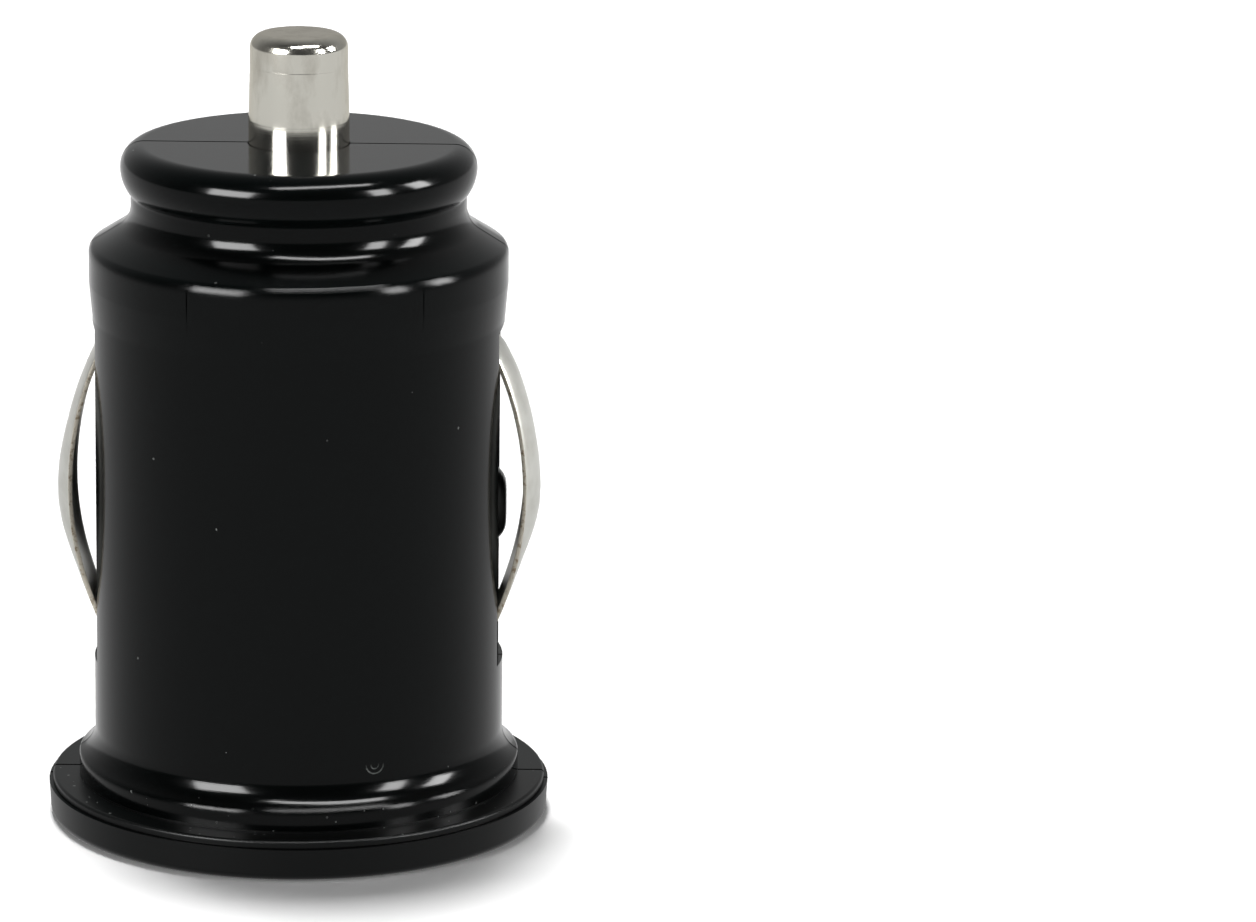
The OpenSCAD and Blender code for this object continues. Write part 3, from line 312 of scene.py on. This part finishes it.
def plainMetal(name, colour, dull, roughness, grain):
    # plated sheet or wire: metal with a fine cloudiness of the given size
    material, tree, shader = newMaterial(name, {"Metallic": 1.0})
    place = addNode(tree, "ShaderNodeTexCoord")
    cloud = addNode(tree, "ShaderNodeTexNoise", {"Scale": 1 / grain, "Detail": 4.0}, {"Vector": (place, "Object")})
    plate = addNode(tree, "ShaderNodeValToRGB", {"stops": [(0.35, colour), (0.7, dull)]}, {"Fac": (cloud, "Fac")})
    rough = addNode(tree, "ShaderNodeMapRange",
                    {"From Min": 0.3, "From Max": 0.7, "To Min": roughness, "To Max": roughness + 0.15},
                    {"Value": (cloud, "Fac")})
    tree.links.new(plate.outputs["Color"], shader.inputs["Base Color"])
    tree.links.new(rough.outputs["Result"], shader.inputs["Roughness"])
    return material


def plainPlastic(name, colour, second, roughness, grain, height):
    # moulded, sintered or coated surface: two near colours and a fine bump of the given size
    material, tree, shader = newMaterial(name, {"Roughness": roughness})
    place = addNode(tree, "ShaderNodeTexCoord")
    cloud = addNode(tree, "ShaderNodeTexNoise", {"Scale": 1 / grain, "Detail": 4.0}, {"Vector": (place, "Object")})
    tone = addNode(tree, "ShaderNodeValToRGB", {"stops": [(0.35, colour), (0.7, second)]}, {"Fac": (cloud, "Fac")})
    bump = addNode(tree, "ShaderNodeBump", {"Strength": 0.4, "Distance": height}, {"Height": (cloud, "Fac")})
    tree.links.new(tone.outputs["Color"], shader.inputs["Base Color"])
    tree.links.new(bump.outputs["Normal"], shader.inputs["Normal"])
    return material


def enamelledCopper():
    # enamelled copper wire wound in one layer: ridges a wire's width apart along the drum's axis, with painted shade
    # between the turns and a painted highlight on each ridge
    material, tree, shader = newMaterial("enamelled copper wire", {"Roughness": 0.25, "Metallic": 0.6})
    place = addNode(tree, "ShaderNodeTexCoord")
    turns = addNode(tree, "ShaderNodeTexWave", {"bands_direction": "Y", "Scale": 0.314 / (0.35 * mm)},
                    {"Vector": (place, "Object")})
    # painted shade and highlight: the colour follows the ridges, dark between the turns and light on their tops
    tone = addNode(tree, "ShaderNodeValToRGB", {"stops": [(0.1, "#4a1f10"), (0.6, "#a8552f")]},
                   {"Fac": (turns, "Fac")})
    bump = addNode(tree, "ShaderNodeBump", {"Strength": 0.8, "Distance": 0.12 * mm}, {"Height": (turns, "Fac")})
    tree.links.new(tone.outputs["Color"], shader.inputs["Base Color"])
    tree.links.new(bump.outputs["Normal"], shader.inputs["Normal"])
    return material


pinNickel = turnedNickel()
bowNickel = rolledNickelStrip()
shearedEdge = shearedNickelEdge()
# Tinned steel sheet, folded: soft grey metal with a warm cloudiness.
tinnedSheet = plainMetal("tinned steel sheet", "#b9b1a2", "#8f8676", 0.3, 0.8 * mm)
# Drawn spring steel: dark grey metal.
springWire = plainMetal("drawn spring steel", "#a9a7a2", "#85827c", 0.28, 0.3 * mm)
# Gold-flashed phosphor bronze: warm yellow contact strip.
goldStrip = plainMetal("gold flashed bronze", "#d3ac62", "#a98545", 0.25, 0.4 * mm)
# White PBT, moulded: clean satin.
whitePbt = plainPlastic("white PBT, moulded", "#e4e3df", "#d9d8d3", 0.38, 0.5 * mm, 0.002 * mm)
# Glass-epoxy board under green solder mask: glossy lacquer over a fine weave.
boardMask = plainPlastic("glass epoxy board, green mask", "#1d5a31", "#174a28", 0.3, 0.35 * mm, 0.004 * mm)
# PVC shrink sleeves: smooth and a little waxy.
blackSleeve = plainPlastic("black PVC sleeve", "#0c0d0d", "#141515", 0.26, 1.2 * mm, 0.006 * mm)
blueSleeve = plainPlastic("dark blue PVC sleeve", "#12182f", "#182040", 0.26, 1.2 * mm, 0.006 * mm)
# Sintered ferrite: dull dark grey ceramic with a fine grain.
ferrite = plainPlastic("sintered ferrite", "#2b2b2c", "#39393a", 0.6, 0.12 * mm, 0.01 * mm)
# Moulded epoxy packages: matt black with a fine spark-eroded grain.
epoxyBlack = plainPlastic("moulded epoxy", "#161617", "#202021", 0.5, 0.1 * mm, 0.006 * mm)
copperWire = enamelledCopper()

finishes = {
    "front_half_shell": frontHalfAbs, "back_half_shell": backHalfAbs, "face_cap": backHalfAbs,
    "tip_pin": pinNickel, "left_contact": bowNickel, "right_contact": bowNickel,
    "tip_spring": springWire, "spring_terminal": goldStrip,
    "front_usb_shell": tinnedSheet, "back_usb_shell": tinnedSheet,
    "front_usb_tongue": whitePbt, "back_usb_tongue": whitePbt,
    "port_board": boardMask, "power_board": boardMask,
    "input_capacitor": blackSleeve, "output_capacitor": blueSleeve,
    "choke_core": ferrite, "choke_winding": copperWire,
    "regulator_chip": epoxyBlack, "catch_diode": epoxyBlack,
    "upper_resistor": epoxyBlack, "lower_resistor": epoxyBlack,
}
for nodeName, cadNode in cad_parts.items():
    cadNode.data.materials.clear()
    cadNode.data.materials.append(finishes.get(nodeName, goldStrip))
print("materials set")


# ---------- helpers for pieces that are drawn from a point

def drawnPoint(name, place):
    # a single point in edit mode, from which a line is drawn by extruding
    bpy.ops.mesh.primitive_plane_add(size=mm, location=place)
    piece = bpy.context.object
    piece.name = name
    bpy.ops.object.transform_apply(location=True)
    bpy.ops.object.mode_set(mode="EDIT")
    bpy.ops.mesh.select_all(action="SELECT")
    bpy.ops.mesh.merge(type="CENTER")
    return piece


def finishMesh(piece, sharpDegrees):
    bpy.ops.mesh.select_all(action="SELECT")
    bpy.ops.mesh.remove_doubles(threshold=0.001 * mm)
    bpy.ops.mesh.normals_make_consistent(inside=False)
    bpy.ops.object.mode_set(mode="OBJECT")
    bpy.ops.object.shade_smooth_by_angle(angle=math.radians(sharpDegrees))
    piece.select_set(False)


# ---------- tip spring: round wire wound in three runs, so that its end turns lie close

tipSpring = {
    "wireRadius": 0.2 * mm, "coilRadius": 2.45 * mm,
    "openTurns": 5, "closedRise": 0.41 * mm, "travel": 2.8 * mm,
    "wireSides": 16, "stepsPerTurn": 40,
}


def woundSpring(s):
    low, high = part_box("tip_spring")
    bottom, top = low[2] + s["wireRadius"], high[2] - s["wireRadius"]
    height, runs = bottom, []
    for turns, rise in ((1, s["closedRise"]), (s["openTurns"], top - bottom - 2 * s["closedRise"]),
                        (1, s["closedRise"])):
        bpy.ops.mesh.primitive_circle_add(vertices=s["wireSides"], radius=s["wireRadius"],
                                          location=(s["coilRadius"], 0, height), rotation=(math.pi / 2, 0, 0))
        run = bpy.context.object
        bpy.ops.object.transform_apply(location=True, rotation=True)
        winding = run.modifiers.new("winding", "SCREW")
        winding.angle = 2 * math.pi * turns
        winding.screw_offset = rise
        winding.steps = winding.render_steps = s["stepsPerTurn"] * turns
        bpy.ops.object.modifier_apply(modifier="winding")
        runs.append(run)
        height += rise
    for run in runs:
        run.select_set(True)
    bpy.context.view_layer.objects.active = runs[0]
    bpy.ops.object.join()
    spring = bpy.context.object
    spring.name = "tip_spring_coil"
    bpy.ops.object.mode_set(mode="EDIT")
    bpy.ops.mesh.select_all(action="SELECT")
    bpy.ops.mesh.remove_doubles(threshold=0.002 * mm)
    bpy.ops.mesh.fill_holes(sides=0)
    bpy.ops.mesh.select_all(action="SELECT")
    bpy.ops.mesh.normals_make_consistent(inside=False)
    bpy.ops.object.mode_set(mode="OBJECT")
    bpy.ops.object.shade_smooth_by_angle(angle=math.radians(60))
    spring.data.materials.clear()
    spring.data.materials.append(springWire)
    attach(spring, "charger")
    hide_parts("tip_spring")
    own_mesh(spring)
    spring.select_set(False)


woundSpring(tipSpring)
print("tip spring wound")


# ---------- centre pin: turned with a slight taper to its rounded nose

centrePin = {
    "stubRadius": 1.95 * mm, "stubChamfer": 0.3 * mm, "collarLow": 31.79 * mm, "collarTop": 32.79 * mm,
    "collarRadius": 3.3 * mm, "shaftRadius": 2.5 * mm, "taperFrom": 35.6 * mm,
    "lineHeight": 38.28 * mm, "lineDepth": 0.012 * mm, "lineWidth": 0.05 * mm,
    "noseRadius": 2.43 * mm, "edgeRadius": 0.72 * mm, "edgeSteps": 18, "turnSteps": 128,
}


def turnedPin(p):
    low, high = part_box("tip_pin")
    edgeMiddle = high[2] - p["edgeRadius"]
    outline = [
        (0, low[2]), (p["stubRadius"] - p["stubChamfer"], low[2]), (p["stubRadius"], low[2] + p["stubChamfer"]),
        (p["stubRadius"], p["collarLow"]), (p["collarRadius"], p["collarLow"]), (p["collarRadius"], p["collarTop"]),
        (p["shaftRadius"], p["collarTop"]), (p["shaftRadius"], p["taperFrom"]),
    ]
    # close rings either side of the turned line keep the shading of the long wall straight
    for step in (-3, -2, -1, 0, 1, 2, 3):
        outline.append((p["noseRadius"] - (p["lineDepth"] if step == 0 else 0),
                        p["lineHeight"] + step * p["lineWidth"]))
    for step in range(p["edgeSteps"] + 1):
        turn = math.pi / 2 * step / p["edgeSteps"]
        outline.append((p["noseRadius"] - p["edgeRadius"] * (1 - math.cos(turn)),
                        edgeMiddle + p["edgeRadius"] * math.sin(turn)))
    outline.append((0, high[2]))
    pin = drawnPoint("tip_pin_turned", (outline[0][0], 0, outline[0][1]))
    for before, after in zip(outline, outline[1:]):
        bpy.ops.mesh.extrude_region_move(TRANSFORM_OT_translate={"value": (after[0] - before[0], 0,
                                                                           after[1] - before[1])})
    bpy.ops.mesh.select_all(action="SELECT")
    bpy.ops.mesh.spin(steps=p["turnSteps"], angle=2 * math.pi, center=(0, 0, 0), axis=(0, 0, 1))
    finishMesh(pin, 40)
    pin.data.materials.append(pinNickel)
    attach(pin, "tip")
    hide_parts("tip_pin")


turnedPin(centrePin)
print("centre pin turned")


# ---------- side contacts: strip bent to an arch and crowned across its width, more so on the right one's top

contactStrip = {
    "width": 3.8 * mm, "thickness": 0.25 * mm, "acrossCuts": 15,
    "archRadius": 16.66 * mm, "reach": 11.42 * mm, "middle": 17.05 * mm,
    "tabPlace": 8.55 * mm, "tabEnd": 9.85 * mm, "tabStarts": (7.85 * mm, -7.694 * mm), "archEnds": (7.45 * mm,
                                                                                                    -6.9 * mm),
    "archSteps": 44, "edgeRounding": 0.04 * mm,
    # height above the middle and how far the strip's middle stands out beyond its edges there
    "crowns": {
        "left": ((9.85, 0.1), (7.85, 0.12), (7.3, 0.25), (5.3, 0.33), (4.3, 0.37), (3.2, 0.41), (2.2, 0.49),
                 (1.2, 0.58),
                 (0, 0.64), (-1.1, 0.66), (-2.1, 0.6), (-3.0, 0.49), (-3.8, 0.37), (-4.7, 0.26), (-6.9, 0.12), (-9.85,
                                                                                                                0.1)),
        "right": ((9.85, 0.1), (7.85, 0.15), (7.3, 0.5), (6.0, 0.6), (4.3, 0.6), (2.4, 0.62), (1.2, 0.66),
                  (0, 0.69), (-1.0, 0.68), (-1.8, 0.61), (-2.6, 0.48), (-3.4, 0.33), (-4.4, 0.2), (-5.5,
                                                                                                   0.12),
                                                                                                   (-9.85, 0.1)),
    },
}


def crownAt(crowns, height):
    # smooth run between the given heights
    for (upper, crownUp), (lower, crownLow) in zip(crowns, crowns[1:]):
        if height * 1000 >= lower - 0.0001:
            share = (upper - height * 1000) / (upper - lower)
            share = share * share * (3 - 2 * share) if abs(upper - lower) > 2 else share
            return (crownUp + (crownLow - crownUp) * share) * mm
    return crowns[-1][1] * mm


def bentStrip(c, side, way):
    archMiddle = c["reach"] - c["archRadius"]
    upper, lower = c["archEnds"]
    line = [(c["tabPlace"], c["tabEnd"]), (c["tabPlace"], c["tabStarts"][0] + 0.15 * mm),
            (c["tabPlace"] + 0.08 * mm, c["tabStarts"][0])]
    for step in range(c["archSteps"] + 1):
        height = upper + (lower - upper) * step / c["archSteps"]
        line.append((archMiddle + math.sqrt(c["archRadius"] ** 2 - height ** 2), height))
    line += [(c["tabPlace"] + 0.08 * mm, c["tabStarts"][1]), (c["tabPlace"], c["tabStarts"][1] - 0.15 * mm),
             (c["tabPlace"], -c["tabEnd"])]
    crowns = c["crowns"][side]

    strip = drawnPoint(side + "_contact_strip", (way * line[0][0], -c["width"] / 2, c["middle"] + line[0][1]))
    bpy.ops.mesh.extrude_region_move(TRANSFORM_OT_translate={"value": (0, c["width"], 0)})
    bpy.ops.mesh.select_all(action="SELECT")
    bpy.ops.mesh.subdivide(number_cuts=c["acrossCuts"])
    # the middle point is pulled out and the others follow it along a parabola
    bpy.ops.mesh.select_all(action="DESELECT")
    bpy.ops.object.mode_set(mode="OBJECT")
    for point in strip.data.vertices:
        point.select = abs(point.co.y) < 0.01 * mm
    bpy.ops.object.mode_set(mode="EDIT")
    bpy.ops.transform.translate(value=(way * crownAt(crowns, line[0][1]), 0, 0), use_proportional_edit=True,
                                proportional_edit_falloff="INVERSE_SQUARE", proportional_size=c["width"] / 2)
    bpy.ops.mesh.select_all(action="SELECT")
    for before, after in zip(line, line[1:]):
        bpy.ops.mesh.extrude_region_move(TRANSFORM_OT_translate={"value": (way * (after[0] - before[0]), 0,
                                                                           after[1] - before[1])})
        growth = crownAt(crowns, after[1]) / crownAt(crowns, before[1])
        bpy.ops.transform.resize(value=(growth, 1, 1), center_override=(way * after[0], 0, c["middle"] + after[1]))
    bpy.ops.mesh.select_all(action="SELECT")
    bpy.ops.mesh.normals_make_consistent(inside=False)
    bpy.ops.object.mode_set(mode="OBJECT")
    outwards = sum(face.normal.x * way * face.area for face in strip.data.polygons)
    strip.data.materials.append(bowNickel)
    strip.data.materials.append(shearedEdge)
    sheet = strip.modifiers.new("sheet", "SOLIDIFY")
    sheet.material_offset_rim = 1
    sheet.thickness = c["thickness"]
    sheet.offset = -1 if outwards > 0 else 1
    sheet.use_even_offset = True
    bpy.ops.object.modifier_apply(modifier="sheet")
    rounding = strip.modifiers.new("rounding", "BEVEL")
    rounding.width = c["edgeRounding"]
    rounding.segments = 2
    rounding.angle_limit = math.radians(50)
    bpy.ops.object.modifier_apply(modifier="rounding")
    bpy.ops.object.mode_set(mode="EDIT")
    finishMesh(strip, 35)
    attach(strip, side + "_bow")
    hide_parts(side + "_contact")


bentStrip(contactStrip, "left", -1)
bentStrip(contactStrip, "right", 1)
print("side contacts bent")


# ---------- seam lips: thin webs in the parting gap above and below each slot, which keep light from showing through

seamLip = {
    "halfThickness": 0.038 * mm,
    # how far each lies from the axis, inside and outside, and its lower and upper end
    "webs": {"shoulder": (7.4 * mm, 8.9 * mm, 28.3 * mm, 29.3 * mm),
             "upper": (9.0 * mm, 10.12 * mm, 25.1 * mm, 28.3 * mm),
             "lower": (9.0 * mm, 10.12 * mm, 3.6 * mm, 8.0 * mm)},
}


def webInSeam(lip, side, way, place):
    inner, outer, low, high = lip["webs"][place]
    web = drawnPoint(side + "_" + place + "_seam_lip", (way * inner, -lip["halfThickness"], low))
    for step in ((way * (outer - inner), 0, 0), (0, 2 * lip["halfThickness"], 0), (0, 0, high - low)):
        bpy.ops.mesh.select_all(action="SELECT")
        bpy.ops.mesh.extrude_region_move(TRANSFORM_OT_translate={"value": step})
    finishMesh(web, 30)
    web.data.materials.append(backHalfAbs)
    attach(web, "charger")


for place in seamLip["webs"]:
    webInSeam(seamLip, "left", -1, place)
    webInSeam(seamLip, "right", 1, place)
print("seam lips set")


# ---------- camera: long lens, a little above the charger and turned to its left side

photoCamera = {
    "distance": 336.4 * mm, "height": 17.0 * mm,   # from the point on the axis that the camera stands off from
    "elevation": 14.717, "azimuth": 2.5, "pitch": 13.995,
    "focalPixels": 6706.2, "axisPixel": (299.0, 396.9), "frame": (1256, 922), "sensorWidth": 36.0,
}


def placeCamera(c):
    turn, rise, pitch = (math.radians(c[k]) for k in ("azimuth", "elevation", "pitch"))
    place = Vector((c["distance"] * math.cos(rise) * math.sin(turn),
                    -c["distance"] * math.cos(rise) * math.cos(turn),
                    c["height"] + c["distance"] * math.sin(rise)))
    forward = Vector((-math.cos(pitch) * math.sin(turn), math.cos(pitch) * math.cos(turn), -math.sin(pitch)))
    right = Vector((math.cos(turn), math.sin(turn), 0))
    up = right.cross(forward)
    # turned about its own centre, so that the frame's middle lies on the lens axis and nothing is shifted
    dx = (c["frame"][0] / 2 - c["axisPixel"][0]) / c["focalPixels"]
    dy = (c["frame"][1] / 2 - c["axisPixel"][1]) / c["focalPixels"]
    aim = (forward + right * dx - up * dy).normalized()
    # rolled so that the charger's axis stays upright in the frame
    toObject = (Vector((0, 0, c["height"])) - place).normalized()
    side = toObject.cross(Vector((0, 0, 1))).normalized()
    newUp = side.cross(aim).normalized()
    newRight = aim.cross(newUp).normalized()
    data = bpy.data.cameras.new("photo camera")
    data.sensor_width = c["sensorWidth"]
    data.lens = c["focalPixels"] / c["frame"][0] * c["sensorWidth"]
    data.clip_start = 10 * mm
    data.clip_end = 20
    camera = bpy.data.objects.new("photo camera", data)
    rows = Matrix((newRight, newUp, -aim)).transposed()
    camera.matrix_world = Matrix.Translation(place) @ rows.to_4x4()
    bpy.context.scene.collection.objects.link(camera)
    bpy.context.scene.camera = camera


placeCamera(photoCamera)


# ---------- studio: pale floor, white surroundings, one soft overhead light and a few windows for the gloss

studio = {
    "floorSize": 4.0, "floorColour": "#f3f3f3", "mirroredFloor": 0.9,
    "floorGlow": 0.09, "farGlow": 0.9, "glowFrom": 0.1, "glowTo": 1.2,   # the board stays white far from the lamp
    # what gloss sees of the room behind and before the charger
    "worldLight": 0.2, "farWall": 0.52, "nearWall": 0.06,
    # angles in degrees, azimuths are measured from the front towards the right
    "overhead": {"azimuth": -165, "elevation": 76, "distance": 2.5, "size": (0.5, 0.5), "watts": 73.0},
    "windows": {
        "left window": {"azimuth": -43, "elevation": 21, "distance": 0.6, "size": (0.3, 0.26), "watts": 11.5},
        "right window": {"azimuth": 57, "elevation": 21, "distance": 0.6, "size": (0.13, 0.26), "watts": 5.2},
        "far window": {"azimuth": 89, "elevation": 24, "distance": 0.6, "size": (0.14, 0.24), "watts": 5.0},
        "long window": {"azimuth": 26, "elevation": 66, "distance": 0.6, "size": (0.5, 0.09), "watts": 6.5},
    },
}


def mirrorRays(tree):
    # 1 for rays that come off gloss, metal or glass
    rays = addNode(tree, "ShaderNodeLightPath")
    return addNode(tree, "ShaderNodeMath", {"operation": "MAXIMUM"},
                   {0: (rays, "Is Glossy Ray"), 1: (rays, "Is Transmission Ray")})


def paleFloor(s):
    bpy.ops.mesh.primitive_plane_add(size=s["floorSize"], location=(0, 0, 0))
    floor = bpy.context.object
    floor.name = "studio_floor"
    material, tree, shader = newMaterial("matt white board", {
        "Base Color": toLinear(s["floorColour"]), "Roughness": 0.9, "Specular IOR Level": 0.0, "Emission Color": (1,
                                                                                                                  1,
                                                                                                                  1,
                                                                                                                  1)})
    # the camera sees the lit board with the charger's shadow; gloss and metal see it evenly white
    rays = addNode(tree, "ShaderNodeLightPath")
    place = addNode(tree, "ShaderNodeTexCoord")
    away = addNode(tree, "ShaderNodeVectorMath", {"operation": "LENGTH"}, {0: (place, "Object")})
    evened = addNode(tree, "ShaderNodeMapRange",
                     {"From Min": s["glowFrom"], "From Max": s["glowTo"], "To Min": s["floorGlow"],
                      "To Max": s["farGlow"]}, {"Value": (away, "Value")})
    glow = addNode(tree, "ShaderNodeMath", {"operation": "MULTIPLY"},
                   {0: (rays, "Is Camera Ray"), 1: (evened, "Result")})
    tree.links.new(glow.outputs["Value"], shader.inputs["Emission Strength"])
    even = addNode(tree, "ShaderNodeEmission", {"Color": (1, 1, 1, 1), "Strength": s["mirroredFloor"]})
    floorSeen = addNode(tree, "ShaderNodeMixShader",
                        links={0: (mirrorRays(tree), "Value"), 1: (shader, "BSDF"), 2: (even, "Emission")})
    tree.links.new(floorSeen.outputs["Shader"], tree.nodes["Material Output"].inputs["Surface"])
    floor.data.materials.append(material)


def whiteSurroundings(s):
    # white for the camera; gloss sees a pale wall behind the charger and the dim room in front of it
    world = bpy.data.worlds.new("white studio")
    bpy.context.scene.world = world
    world.use_nodes = True
    tree = world.node_tree
    back = tree.nodes["Background"]
    back.inputs["Color"].default_value = (1, 1, 1, 1)
    towards = addNode(tree, "ShaderNodeTexCoord")
    axes = addNode(tree, "ShaderNodeSeparateXYZ", links={"Vector": (towards, "Generated")})
    wall = addNode(tree, "ShaderNodeMapRange",
                   {"From Min": -0.2, "From Max": 0.9, "To Min": s["nearWall"], "To Max": s["farWall"]},
                   {"Value": (axes, "Y")})
    rays = addNode(tree, "ShaderNodeLightPath")
    seen = addNode(tree, "ShaderNodeMix", {"data_type": "FLOAT", 2: s["worldLight"]},
                   {0: (mirrorRays(tree), "Value"), 3: (wall, "Result")})
    strength = addNode(tree, "ShaderNodeMix", {"data_type": "FLOAT", 3: 1.0},
                       {0: (rays, "Is Camera Ray"), 2: (seen, 0)})
    tree.links.new(strength.outputs[0], back.inputs["Strength"])


def softLamp(name, lamp):
    data = bpy.data.lights.new(name, "AREA")
    data.shape = "RECTANGLE"
    data.size, data.size_y = lamp["size"]
    data.energy = lamp["watts"]
    turn, rise = math.radians(lamp["azimuth"]), math.radians(lamp["elevation"])
    place = lamp["distance"] * Vector((math.cos(rise) * math.sin(turn), -math.cos(rise) * math.cos(turn),
                                       math.sin(rise)))
    light = bpy.data.objects.new(name, data)
    light.matrix_world = Matrix.Translation(place) @ (-place).to_track_quat("-Z", "Y").to_matrix().to_4x4()
    bpy.context.scene.collection.objects.link(light)
    return light


paleFloor(studio)
whiteSurroundings(studio)
softLamp("overhead softbox", studio["overhead"]).visible_glossy = False   # lights the floor, casts the soft shadow
for lampName, lamp in studio["windows"].items():
    softLamp(lampName, lamp).visible_diffuse = False   # only for the highlights in gloss and metal
bpy.context.scene.view_settings.view_transform = "Standard"
print("camera and studio set")
